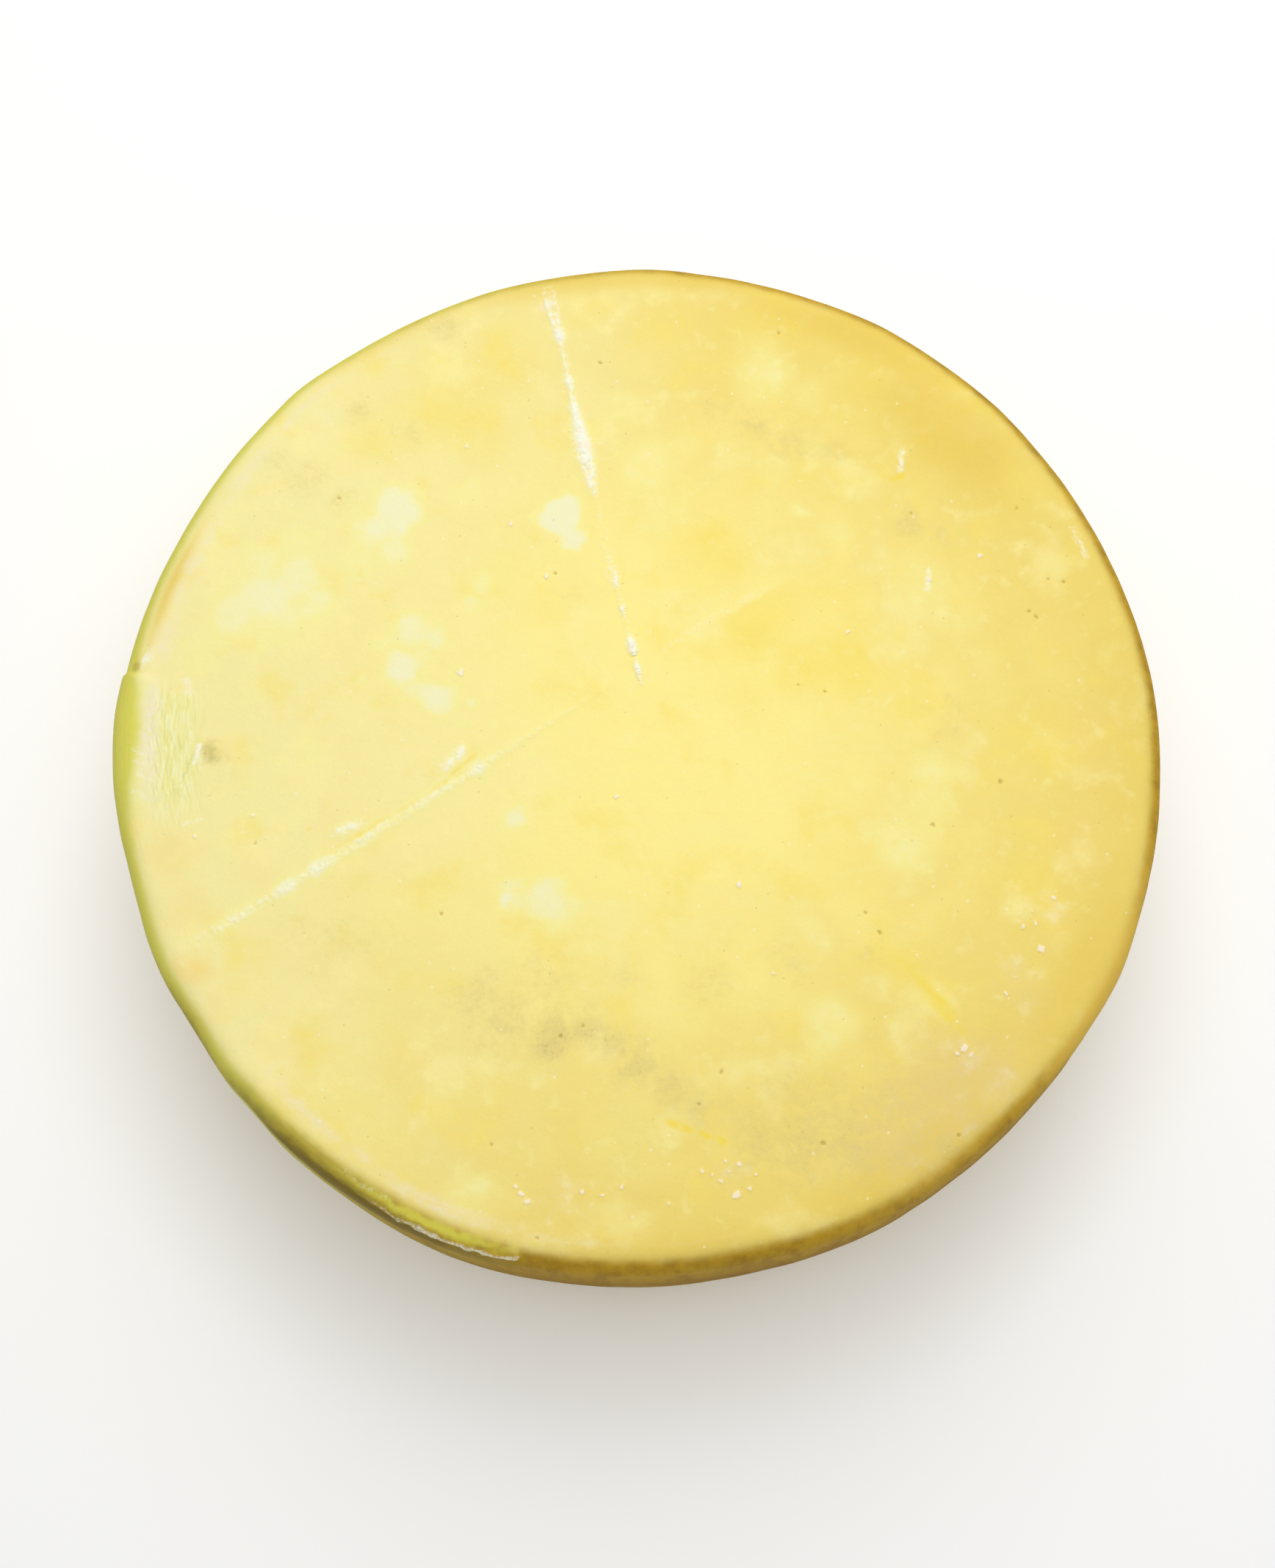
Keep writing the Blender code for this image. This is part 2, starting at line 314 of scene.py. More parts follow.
PITS = (
    ((47, 140), 0.55), ((124, 77), 0.5), ((138, 51), 0.6), ((133, 52), 0.35), ((128, 39), 0.45),
    ((126, 41), 0.35), ((92, -30), 0.6), ((114, -16), 0.55), ((-61, -58), 0.5), ((33, -112), 0.5),
    ((25, -107), 0.5), ((-17, -93), 0.5), ((59, 14), 0.4), ((51, 16), 0.4), ((-13, 129), 0.5),
    ((-98, 80), 0.5), ((-27, 54), 0.4), ((74, -64), 0.45), ((70, -58), 0.35), ((55, -128), 0.55),
    ((96, -126), 0.5), ((-44, -128), 0.45), ((-30, -155), 0.4), ((-24, -96), 0.5),
    ((-28, -99), 0.4), ((18, -117), 0.4), ((89, 75), 0.4), ((-120, -36), 0.4),
)
print(len(PALE_PATCHES), "pale patches,", len(SPECKS), "specks,", len(PITS), "pits")

# %% [markdown]
# Two thick layers lie over the edge. At the left the coating was wrinkled by a thumb while
# it was soft, and it starts with a torn step. At the lower left the mould pressed a lip of
# rind out over the edge, which ends torn off. Both follow the edge, so they are given by
# angles about the axis and by how far along the profile they reach: distances along the
# profile count from the end of the flat top, inward as negative numbers.

# %% List the layers over the edge
WAX_ANGLES = (172.6, 194)
WAX_REACH = (-26, 18)
WAX_HEIGHT = 0.9
WRINKLED_REACH = (-24, -3)
LIP_ANGLES = (229, 257.5)
LIP_CREST = 7.5
LIP_RISE = 4.0
LIP_DROP = 0.9
LIP_HEIGHT = 1.3

# %% [markdown]
# ## A finer net where it matters
# Steps of 2.5 mm carry the wheel's swells, but a crease is only 3 mm wide and a pit a third
# of that. Making the whole net fine would cost millions of faces. `subdivide_edges` on
# chosen faces halves their steps, in three rounds that each keep closer to the marks.

# %% Measure how near a point is to the marks
TOP_FLAT = (WALL_RADIUS - TOP_EDGE_ROUND) / MM
SHOULDER = (HEIGHT - TOP_EDGE_ROUND) / MM
EDGE_ROUND = TOP_EDGE_ROUND / MM
FAR_AWAY = 1000.0


def distance_to_line(points, line):
    """For points (x, y): the distance to a line of points, the side, and the nearest share."""
    gaps = points[:, None, :] - line[None, :, :]
    squares = (gaps**2).sum(axis=2)
    nearest = squares.argmin(axis=1)
    tangents = np.gradient(line, axis=0)[nearest]
    gap = gaps[np.arange(len(points)), nearest]
    side = np.sign(tangents[:, 0] * gap[:, 1] - tangents[:, 1] * gap[:, 0])
    return np.sqrt(squares.min(axis=1)), side, nearest / (len(line) - 1)


def distance_to_spots(points, spots):
    """For points (x, y): the distance to the rim of the nearest of some round spots."""
    best = np.full(len(points), FAR_AWAY)
    for (x, y), radius in spots:
        best = np.minimum(best, np.hypot(points[:, 0] - x, points[:, 1] - y) - radius)
    return best


def angle_and_reach(points):
    """For points (x, y, z) of the body: the angle, and the way along the profile."""
    radius = np.hypot(points[:, 0], points[:, 1])
    degrees = np.degrees(np.arctan2(points[:, 1], points[:, 0])) % 360
    over = radius - TOP_FLAT
    rise = points[:, 2] - SHOULDER
    bend = EDGE_ROUND * (math.pi / 2 - np.arctan2(np.maximum(rise, 0), np.maximum(over, 1e-6)))
    reach = np.where(over < 0, over, np.where(rise > 0, bend, EDGE_ROUND * math.pi / 2 - rise))
    return degrees, np.where(points[:, 2] < 1, FAR_AWAY, reach)


def between(low, high, values, margin):
    """True where values lie between two limits, or within a margin of them."""
    return (values > low - margin) & (values < high + margin)


def near_marks(centres, crease_margin, spot_margin, layer_margin, wax_reach):
    """True for the face centres that lie near a mark."""
    chosen = np.zeros(len(centres), bool)
    on_top = np.flatnonzero(centres[:, 2] > HEIGHT / MM - 0.5)
    flat = centres[on_top, :2]
    for line in crease_lines.values():
        chosen[on_top] |= distance_to_line(flat, line)[0] < crease_margin
    chosen[on_top] |= distance_to_spots(flat, SPECKS + PITS) < spot_margin
    degrees, reach = angle_and_reach(centres)
    chosen |= between(*WAX_ANGLES, degrees, layer_margin) & between(*wax_reach, reach, 0)
    lip_reach = (LIP_CREST - LIP_RISE, LIP_CREST + LIP_DROP)
    chosen |= between(*LIP_ANGLES, degrees, layer_margin) & between(*lip_reach, reach, 1)
    return chosen


# %% Refine the net
ROUNDS = (
    {"crease_margin": 4.5, "spot_margin": 3, "layer_margin": 1.5, "wax_reach": WAX_REACH},
    {"crease_margin": 2.6, "spot_margin": 1.6, "layer_margin": 0.8, "wax_reach": WAX_REACH},
    {"crease_margin": 1.3, "spot_margin": 0.7, "layer_margin": 0.4, "wax_reach": WRINKLED_REACH},
)

for margins in ROUNDS:
    centres = np.array([face.calc_center_median() for face in cage.faces]) / MM
    chosen = near_marks(centres, **margins)
    edges = {edge for face, take in zip(list(cage.faces), chosen) if take for edge in face.edges}
    bmesh.ops.subdivide_edges(cage, edges=list(edges), cuts=1, use_grid_fill=True)
    print("refined", int(chosen.sum()), "faces, now", len(cage.faces))

wheel = bpy.data.objects.new("wheel", bpy.data.meshes.new("wheel"))
bpy.context.scene.collection.objects.link(wheel)
cage.to_mesh(wheel.data)
cage.free()
print("triangles:", sum(len(face.vertices) - 2 for face in wheel.data.polygons))

# %% [markdown]
# ## Swells, flats and lumps
# Nothing about the wheel is truly round. Its outline shows shallow flats from the shelf
# and swells between them, each a smooth bell round one angle. Soft seeded noise adds the
# unevenness that has no name. The whole mesh is moved at once as an array of points.

# %% Describe the handling
SIDE_SWELLS = (
    (28, 11, -0.6), (60, 5, 0.6), (88, 5, 0.7), (114, 10, -0.5), (133, 4, 0.8), (152, 8, -0.9),
    (178, 7, 1.0), (198, 6, -0.7), (214, 5, -1.1), (224, 3, -0.7), (250, 10, 1.2), (280, 8, -0.8),
    (312, 8, -0.5), (334, 6, 0.7),
)
TOP_SWELLS = (
    ((46, 30), 44, -0.7), ((-92, 42), 50, 0.5), ((-18, -92), 58, 0.4), ((66, -112), 40, -0.5),
    ((70, 104), 46, 0.4), ((-66, 112), 36, -0.4),
)
SIDE_BULGE = 3


def soft_step(low, high, values):
    """Rises softly from 0 at low to 1 at high."""
    share = np.clip((values - low) / (high - low), 0, 1)
    return share * share * (3 - 2 * share)


def bell(distance, reach):
    """1 at no distance, falling off smoothly past the reach."""
    return np.exp(-((distance / reach) ** 2))


def clouds(points, size, seed):
    """Soft seeded noise between about -1 and 1, with lumps of a size in mm."""
    shift = Vector((seed, 2 * seed, 3 * seed))
    return np.array([noise.noise(Vector(point) / size + shift) for point in points.tolist()])


def side_offset(points, degrees):
    """How far the side stands out of the round."""
    total = 0.35 * clouds(points, 32, 4)
    for middle, reach, height in SIDE_SWELLS:
        total += height * bell((degrees - middle + 180) % 360 - 180, reach)
    return total


def top_offset(points):
    """How far the top stands above its mean level."""
    flat = points * (1, 1, 0)
    total = 0.25 * clouds(flat, 45, 7) + 0.1 * clouds(flat, 14, 9)
    for (x, y), reach, height in TOP_SWELLS:
        total += height * bell(np.hypot(points[:, 0] - x, points[:, 1] - y), reach)
    return total


# %% Read the body's points
points = np.empty(3 * len(wheel.data.vertices))
wheel.data.vertices.foreach_get("co", points)
points = points.reshape(-1, 3) / MM
body = points.copy()
radius = np.hypot(body[:, 0], body[:, 1])
degrees, reach = angle_and_reach(body)
outward = body * (1, 1, 0) / np.maximum(radius, 1)[:, None]
upward = np.array((0, 0, 1.0))
slope = np.clip(reach / (EDGE_ROUND * math.pi / 2), 0, 1) * math.pi / 2
normal = outward * np.sin(slope)[:, None] + upward * np.cos(slope)[:, None]
wall = soft_step(2, 14, reach)
on_top = np.flatnonzero(reach < 3)
print("points:", len(body), "of them on the top:", len(on_top))

# %% Bulge the wall and move the wheel as handling did
FOOT_ROUND = FOOT_EDGE_ROUND / MM
wall_share = np.clip((SHOULDER - body[:, 2]) / (SHOULDER - FOOT_ROUND), 0, 1)
bulge = SIDE_BULGE * np.sin(math.pi * wall_share) * (radius > TOP_FLAT)
out_of_round = side_offset(body, degrees) * soft_step(0.6 * TOP_FLAT, TOP_FLAT, radius)
out_of_round += 0.16 * clouds(body, 9, 12) * wall
points += outward * (bulge + out_of_round)[:, None]
lift = top_offset(body) * soft_step(HEIGHT / MM / 2, SHOULDER, body[:, 2])
points[:, 2] += lift
side_range = out_of_round.min(), out_of_round.max()
print("deepest flat and highest swell of the side in mm:", np.round(side_range, 2))

# %% [markdown]
# ## Creases, specks and pits
# A crease is a low ridge: its height falls off with the distance from its line, and its
# strength along the line comes from its pairs of numbers. Its edges waver a little, which
# noise added to the distance gives. The same figures are kept as paint for its white crest.

# %% Raise the creases
flat_top = body[on_top, :2]
waver = clouds(body[on_top], 2.2, 3)
crumble = clouds(body[on_top], 0.9, 5)
crease_paint = np.zeros(len(body))
for name, crease in CREASES.items():
    away, side, share = distance_to_line(flat_top, crease_lines[name])
    strength = np.interp(share, *zip(*crease["strength"]))
    strength = np.clip(strength * (1 + 0.6 * waver + 0.6 * crumble), 0, 1.1)
    half_width = np.interp(share, *zip(*crease["half_width"]))
    from_crest = np.maximum(away + 0.4 * waver + 0.3 * crumble - 0.2, 0)
    ridge = strength * bell(from_crest, half_width)
    points[on_top, 2] += crease["height"] * ridge
    crease_paint[on_top] = np.maximum(crease_paint[on_top], crease["whiteness"] * ridge)
print("highest crease stands at", points[on_top, 2].max().round(2), "mm")

# %% Sink the pits and raise the specks
PIT_DEPTH = 0.5
SPECK_HEIGHT = 0.3


def spots_field(spots, softness):
    """1 inside round spots with wavering rims, and 0 outside them."""
    field = np.zeros(len(body))
    ragged = distance_to_spots(flat_top, spots) + 0.7 * crumble
    field[on_top] = 1 - soft_step(-softness, softness, ragged)
    return field


pit_paint = spots_field(PITS, 0.4)
speck_paint = spots_field(SPECKS, 0.35)
points[:, 2] += SPECK_HEIGHT * speck_paint - PIT_DEPTH * pit_paint
print("points in pits:", int((pit_paint > 0).sum()), "on specks:", int((speck_paint > 0).sum()))

# %% [markdown]
# ## The layers over the edge
# The wrinkled coating stands a little proud. On the wall it starts with a torn step, and on
# the top it fades in. Its wrinkles are noise stretched nine times along the rim, so that
# they run the way the thumb moved. The pressed lip rises slowly over the rounded edge to a
# crest and drops at once below it. It grows from nothing along the rim, and its other end
# is torn off square. A faint line above it is what is left of an older lip.

# %% Lay on the wrinkled coating
WRINKLE_SIZE = 0.8
WRINKLE_STRETCH = 9
WRINKLE_HEIGHT = 0.4

ragged = 0.8 * clouds(body, 3.5, 21)
start, end = WAX_ANGLES
fade = 0.5 + 4 * (1 - soft_step(-7, 3, reach))
wax = soft_step(0, 1, (degrees + 0.5 * ragged - start) / fade)
wax *= 1 - soft_step(end - 9, end, degrees)
wax *= soft_step(WAX_REACH[0], WAX_REACH[0] + 14, reach + 4 * ragged)
wax *= 1 - soft_step(WAX_REACH[1], WAX_REACH[1] + 9, reach)
rim_way = np.radians(degrees) * TOP_FLAT
across = reach + 0.06 * rim_way + ragged
wrinkle_points = np.column_stack([across, rim_way / WRINKLE_STRETCH, np.zeros(len(body))])
wrinkles = np.zeros(len(body))
waxed = np.flatnonzero((wax > 0) & (reach < 2))
wrinkles[waxed] = clouds(wrinkle_points[waxed], WRINKLE_SIZE, 31)
inner, outer = WRINKLED_REACH
wrinkled = soft_step(inner, inner + 4, reach) * (1 - soft_step(outer - 2, outer + 2, reach)) * wax
height = WAX_HEIGHT * (0.3 + 0.7 * soft_step(-6, 2, reach))
points += normal * (height * wax + WRINKLE_HEIGHT * wrinkles * wrinkled)[:, None]
print("coated points:", len(waxed))

# %% Press out the lip
start, end = LIP_ANGLES
growth = soft_step(start, end - 8, degrees)
growth *= 1 - soft_step(end - 0.3, end + 0.2, degrees + 0.3 * ragged)
crest = LIP_CREST + 1.6 * ragged + 0.3 * clouds(body, 1.1, 25)
rising = soft_step(crest - LIP_RISE, crest, reach)
falling = 1 - soft_step(crest, crest + LIP_DROP, reach)
lip = growth * rising * falling
points += (outward - 0.3 * upward) * (LIP_HEIGHT * lip)[:, None]
lip_edge = growth * soft_step(234, 248, degrees) * bell(reach - crest + 0.4, 0.8)
older_edge = 0.22 * bell(degrees - 240, 4) * bell(reach - 4 - 1.2 * ragged, 0.8)
print("the lip stands out by up to", (LIP_HEIGHT * lip.max()).round(2), "mm")

# %% Put the moved points back, centred over the origin
for axis in (0, 1):
    points[:, axis] -= (points[:, axis].min() + points[:, axis].max()) / 2
points[:, 2] -= points[:, 2].min()
wheel.data.vertices.foreach_set("co", (points * MM).ravel())
wheel.data.update()
wheel.data.shade_smooth()
print("finished box in mm:", np.ptp(points, axis=0).round(1))

# %% [markdown]
# ## Paint for the rind
# The rind's colours lie in layers, and each layer needs to know where it belongs. That is
# kept on the mesh as one number per point, in attributes that the material reads. They are
# soft fields: the material breaks up their edges with noise, which is finer than the mesh.
# A blot is (x, y), its reach in mm and its strength, and noise in its own scale gives each
# one an outline of its own. A streak runs from one point to another, and a strip follows
# the rim.

# %% Ways to fill a layer
def store(name, values):
    """Keeps one number per point on the wheel, under a name that the material can read."""
    layer = wheel.data.attributes.new(name, "FLOAT", "POINT")
    layer.data.foreach_set("value", np.asarray(values, dtype=np.float32))
    print(f"{name}: {np.mean(np.asarray(values) > 0.05):.1%} of the points")


def blots(spots, core=0.5, rim=1.25):
    """The strongest of some soft blots at each point, each with an uneven outline."""
    field = np.zeros(len(body))
    for number, ((x, y), size, strength) in enumerate(spots):
        away = np.hypot(body[:, 0] - x, body[:, 1] - y) / size
        near = np.flatnonzero((away < 2.4) & (body[:, 2] > SHOULDER))
        uneven = 0.4 * clouds(body[near], 1.3 * size, number + 0.4)
        uneven += 0.3 * clouds(body[near], 0.5 * size, number)
        inside = 1 - soft_step(core, rim, away[near] * (1 + uneven))
        field[near] = np.maximum(field[near], strength * inside)
    return field


def streaks(lines):
    """Soft streaks, each with a start, an end, half its width and its strength."""
    field = np.zeros(len(body))
    shares = np.linspace(0, 1, 24)[:, None]
    for start, end, half_width, strength in lines:
        line = np.array(start) + (np.array(end) - np.array(start)) * shares
        away = np.maximum(distance_to_line(flat_top, line)[0] + 0.4 * crumble, 0)
        field[on_top] = np.maximum(field[on_top], strength * bell(away, half_width))
    return field


def rim_strips(strips):
    """Strips along the rim, each with an angle, an arc, a reach, half its width, a strength."""
    field = np.zeros(len(body))
    for middle, arc, middle_reach, width, strength in strips:
        turn = (degrees - middle + 180) % 360 - 180
        field = np.maximum(field, strength * bell(turn, arc) * bell(reach - middle_reach, width))
    return field


# %% [markdown]
# The soft shades come first. Deep yellow lies where the rind is ripe, and in a hollow beside
# the right crease it is painted shade. Blush lies where it was rubbed, and grey-olive smudges
# where it was held. At the lower right the rind is a duller, pinkish tan.

# %% Soft shades
# The first three blots lie in the hollow beside the right crease and are painted shade; the rest
# are deeper yellow in the rind.
DEEP_YELLOWS_AND_HOLLOW_SHADE = (
    ((54, 22), 18, 0.7), ((68, 20), 13, 0.7), ((78, 13), 10, 0.4), ((22, 58), 22, 0.5),
    ((8, 146), 18, 0.4), ((40, 148), 16, 0.45), ((72, 138), 16, 0.4), ((-18, 150), 14, 0.4),
    ((-50, 102), 16, 0.4), ((-30, 42), 12, 0.35), ((-20, 26), 12, 0.35), ((-44, 55), 10, 0.3),
    ((30, 57), 14, 0.3), ((104, 110), 20, 0.8), ((80, 126), 18, 0.5), ((-66, 112), 26, 0.5),
    ((-44, 128), 20, 0.45), ((-88, 104), 16, 0.5), ((128, 0), 22, 0.4), ((120, -48), 22, 0.45),
    ((34, 14), 18, 0.4), ((62, 44), 16, 0.4), ((80, -78), 12, 0.6), ((-92, -115), 40, 0.45),
    ((-50, -118), 20, 0.35), ((-120, -80), 16, 0.3), ((62, -42), 26, 0.3), ((126, 84), 14, 0.5),
    ((88, -84), 10, 0.6),
)
BLUSHES = (
    ((-137, -76), 7, 1.0), ((-131, -86), 6, 0.6), ((133, 31), 16, 0.5), ((142, -2), 18, 0.5),
    ((136, -34), 18, 0.5), ((128, -62), 14, 0.4), ((104, -60), 16, 0.35), ((-146, -40), 12, 0.6),
    ((-140, -56), 12, 0.5), ((33, 151), 12, 0.3), ((94, 124), 14, 0.35), ((-74, -107), 14, 0.35),
    ((-110, -100), 16, 0.4), ((-96, -30), 10, 0.3), ((-120, -45), 14, 0.35), ((62, -75), 12, 0.3),
)
SMUDGES = (
    ((-135, -7), 4.5, 1.0), ((-121, 94), 8, 0.35), ((-110, 87), 9, 0.4), ((-98, 80), 6, 0.4),
    ((-93, 111), 5, 0.5), ((-75, 103), 7, 0.35), ((-65, 142), 6, 0.5), ((-26, -97), 8, 0.85),
    ((-17, -94), 6, 0.75), ((-9, -98), 7, 0.7), ((-40, -92), 12, 0.5), ((-50, -83), 10, 0.45),
    ((-28, -78), 10, 0.35), ((-1, -105), 8, 0.7), ((9, -112), 8, 0.6), ((18, -118), 7, 0.5),
    ((36, -127), 10, 0.55), ((49, -129), 13, 0.6), ((64, -129), 14, 0.6), ((80, -130), 11, 0.55),
    ((46, -115), 10, 0.45), ((57, -121), 11, 0.45), ((74, -119), 11, 0.4), ((20, -80), 8, 0.35),
    ((45, -74), 8, 0.25), ((72, -70), 8, 0.25), ((-5, -76), 8, 0.25), ((-107, -62), 8, 0.3),
    ((-94, -67), 9, 0.3), ((-84, -68), 8, 0.2), ((-100, -76), 8, 0.2), ((100, 10), 6, 0.3),
    ((97, -1), 7, 0.3), ((91, 8), 5, 0.2), ((26, 112), 6, 0.4), ((39, 107), 7, 0.5),
    ((51, 101), 7, 0.45), ((62, 96), 6, 0.4), ((88, 72), 6, 0.5), ((98, 68), 5, 0.35),
    ((-21, 47), 5, 0.35), ((92, -129), 8, 0.7), ((102, -121), 6, 0.5), ((-131, -14), 12, 0.15),
)
DULL_PINKS = (
    ((92, -112), 24, 0.75), ((108, -108), 16, 0.7), ((76, -128), 18, 0.6), ((118, -84), 16, 0.45),
    ((-70, 142), 12, 0.3),
)

# Painted shade on one side of the right crease, in its shallow hollow, kept in the deep yellow
# layer.
away, side, share = distance_to_line(flat_top, crease_lines["right"])
beside = soft_step(0.2, 2.5, side * away + waver) * (1 - soft_step(8, 34, away))
hollow_shade = np.zeros(len(body))
hollow_shade[on_top] = beside * bell(share - 0.35, 0.4)
store("deep_yellow_and_hollow_shade", np.maximum(blots(DEEP_YELLOWS_AND_HOLLOW_SHADE, 0, 1.5), 0.65 * hollow_shade))
store("blush", blots(BLUSHES, 0, 1.5))
store("smudge", blots(SMUDGES, 0, 1.6))
store("dull", blots(DULL_PINKS, 0, 1.5))

# %% [markdown]
# The pale patches are listed above with the other marks. A soft pale halo, made from the
# same pairs as the ridges but wider, also lies along the two long creases.

# %% Pale patches and halos
HALO_STRENGTHS = {"upper": 0.85, "lower": 1.6}
HALO_MARGIN = 2

halos = np.zeros(len(body))
for name, halo_strength in HALO_STRENGTHS.items():
    crease = CREASES[name]
    away, side, share = distance_to_line(flat_top, crease_lines[name])
    strength = np.interp(share, *zip(*crease["strength"]))
    half_width = HALO_MARGIN + np.interp(share, *zip(*crease["half_width"]))
    halo = strength * bell(np.maximum(away + waver, 0), half_width)
    halos[on_top] = np.maximum(halos[on_top], np.minimum(halo_strength * halo, 1))
store("pale", np.maximum(1.1 * blots(PALE_PATCHES, 0.3, 1.35), halos))

# %% [markdown]
# Handling leaves small marks: golden streaks, pinkish scuffs, and strokes of a nail that are
# lighter or darker than the rind. A thin pale band along the edge is painted highlight, where
# the top turns into the edge.

# %% Streaks, scuffs and the painted highlight along the edge
GOLD_STREAKS = (
    ((79, -71), (88, -79), 5.0, 0.4), ((86, -79), (95, -90), 3.2, 0.7),
    ((94, -89), (101, -99), 1.4, 0.5), ((101, -99), (111, -110), 0.6, 0.6),
    ((9, -122.5), (15, -124), 1.6, 0.9), ((14, -124), (26, -128), 1.0, 0.9),
    ((-94, -37), (-78, -27), 1.4, 0.4), ((-88, -33.5), (-83, -30.5), 1.3, 0.5),
    ((-76, -26), (-54, -12), 1.4, 0.4), ((-59, -13.5), (-52, -7.5), 1.5, 0.5),
    ((-103, -31), (-101, -33), 1.2, 0.6), ((-91, 56), (-89, 49), 1.4, 0.5),
    ((87, 88), (84, 87), 1.3, 0.8),
)
PINK_SCUFFS = (
    ((99, -104), 6, 0.4), ((107, -113), 9, 0.3), ((97, -124), 9, 0.3), ((87, -134), 8, 0.3),
    ((112, -108), 6, 0.35), ((103, -102), 5, 0.4), ((99, -99), 4, 0.4), ((116, -77), 9, 0.3),
    ((126, -58), 9, 0.35), ((26, -138), 9, 0.35), ((-144, 54), 6, 0.35), ((-149, 40), 6, 0.4),
    ((-158, 19), 5, 0.5), ((-105, 108), 7, 0.3), ((-86, -134), 8, 0.35), ((-110, -108), 8, 0.3),
    ((-31, 150), 2.6, 0.9), ((-24, -142), 10, 0.3),
)
# Strips of painted highlight where the top turns into the edge.
EDGE_HIGHLIGHT_STRIPS = (
    (168, 6, -3, 4.5, 0.6), (158, 8, -2, 3.2, 0.65), (146, 8, -1, 2.4, 0.7),
    (134, 8, -0.5, 1.8, 0.65), (124, 5, 0.5, 1.2, 0.5), (181, 8.5, -3.4, 3.8, 1.0),
    (212, 12, -0.5, 2.4, 0.3), (232, 12, -2.2, 2.8, 0.62), (248, 10, -1.3, 2.6, 0.78),
    (262, 9, -0.5, 1.6, 0.45), (276, 10, 0.5, 1.4, 0.3),
)
LIGHT_STROKES = (
    ((94, 55), (93.4, 48.5), 1.1, 0.5), ((87, 97), (86, 90), 1.1, 0.45),
    ((143, 69), (146, 60), 1.0, 0.4), ((151, 64), (153, 57), 0.8, 0.4),
    ((-138.4, -3.8), (-139.8, -9.8), 0.8, 0.6), ((-159, -6), (-155, -7.5), 0.6, 0.35),
    ((-158.5, -9.5), (-154, -10), 0.7, 0.3), ((-160, 23), (-156.5, 26), 1.9, 0.6),
    ((-144, 17), (-142.5, 13), 1.8, 0.35), ((-157, -13.5), (-154, -15.5), 0.8, 0.4),
    ((-158, -19), (-155, -21), 1.0, 0.35), ((-143, -30), (-137, -28), 0.8, 0.3),
)
DARK_STROKES = (
    ((-139.6, -6), (-143.8, -16.5), 0.7, 0.5), ((-135.5, -4.5), (-134, -8.5), 3.2, 0.5),
)

store("gold", streaks(GOLD_STREAKS))
store("pink_scuffs_and_edge_highlight", np.maximum(blots(PINK_SCUFFS, 0.1, 1.5), rim_strips(EDGE_HIGHLIGHT_STRIPS)))
store("shade", streaks(DARK_STROKES))

# %% [markdown]
# The edge and the wall have shades of their own: riper gold along parts of the rim, painted
# olive shade on the wall under the lip and at the lower left, and painted light, a lighter
# yellow, at the lower right. The wall's colour starts in a ragged line where the edge turns
# down, and further in at the left and at the lower left.

# %% Shades of the edge and the wall
GOLDEN_RIMS = (
    (162, 8, 1.5, 2.4, 1.0), (92, 22, 4, 7, 1.0), (62, 18, 0, 11, 0.9), (45, 13, -12, 17, 1.0),
    (120, 14, 5, 6, 0.6), (0, 24, -2, 13, 0.45), (330, 18, -2, 10, 0.8), (303, 16, -1, 9, 1.0),
    (313, 12, -12, 10, 0.6), (276, 14, 1, 6, 0.6), (38, 12, 4, 6, 0.4),
)
# Painted shade: olive on the wall under the lip and at the lower left.
OLIVE_WALL_SHADES = ((238, 19, 14, 9.5, 1.0), (214, 10, 14, 8, 0.6))
# Painted light: a lighter yellow on the wall at the lower right.
PAINTED_LIGHT_WALLS = ((331, 15, 7, 9, 1.0), (303, 14, 6, 6, 0.5))

store("ripe", rim_strips(GOLDEN_RIMS))
store("olive_wall_shade", rim_strips(OLIVE_WALL_SHADES))
store("wall_painted_light", rim_strips(PAINTED_LIGHT_WALLS))
further_in = 2.5 * bell(degrees - 240, 16) + 5.5 * bell(degrees - 180, 7)
store("wall", soft_step(1.5, 8, reach + 0.7 * ragged + further_in))

# %% [markdown]
# Last come the whites and browns: the crests of the creases, of the lip and of the wrinkles,
# the specks, the pits, and the brown spot where the coating is torn. The lip is a
# yellow-green ribbon just inside its crest, and fades towards its torn end.

# %% Crests, specks, pits and the lip
TORN_ANGLE = WAX_ANGLES[0] - 0.5
TORN_REACH = 4.5
TORN_RADIUS = 2.0
MM_PER_DEGREE = 2.9

from_torn = np.hypot((degrees - TORN_ANGLE) * MM_PER_DEGREE, reach - TORN_REACH)
torn = bell(from_torn, TORN_RADIUS)
wrinkle_paint = np.clip(1.6 * wrinkles, 0, 1) * wrinkled
light = np.maximum(np.maximum(crease_paint, streaks(LIGHT_STROKES)), 0.2 * wrinkle_paint)
light = np.maximum(light, np.maximum(0.5 * lip_edge, older_edge))
ribbon = bell(reach - crest + 3.0, 1.5) * (1 - 0.55 * soft_step(248, 257, degrees))
store("crest", np.clip(light, 0, 1.2))
store("speck", speck_paint)
store("pit", np.maximum(pit_paint, 1.2 * torn))
store("coat", wax)
store("wrinkled", wrinkled)
store("lip", growth * ribbon)

# %% [markdown]
# ## Mixing the rind
# The material is a stack: a soft yellow ground, then one layer after another, each mixed
# in by its attribute. Colours are given as they look on a screen, from 0 to 255, and
# turned into the linear values that the shader works in. Little helpers keep the stack
# readable: `node` adds a node with its inputs, `mixed` lays one colour over another.

# %% Small helpers for node trees
def screen(red, green, blue):
    """A screen colour as linear values with full opacity."""
    parts = [c / 255 for c in (red, green, blue)]
    linear = [c / 12.92 if c <= 0.04045 else ((c + 0.055) / 1.055) ** 2.4 for c in parts]
    return (*linear, 1.0)


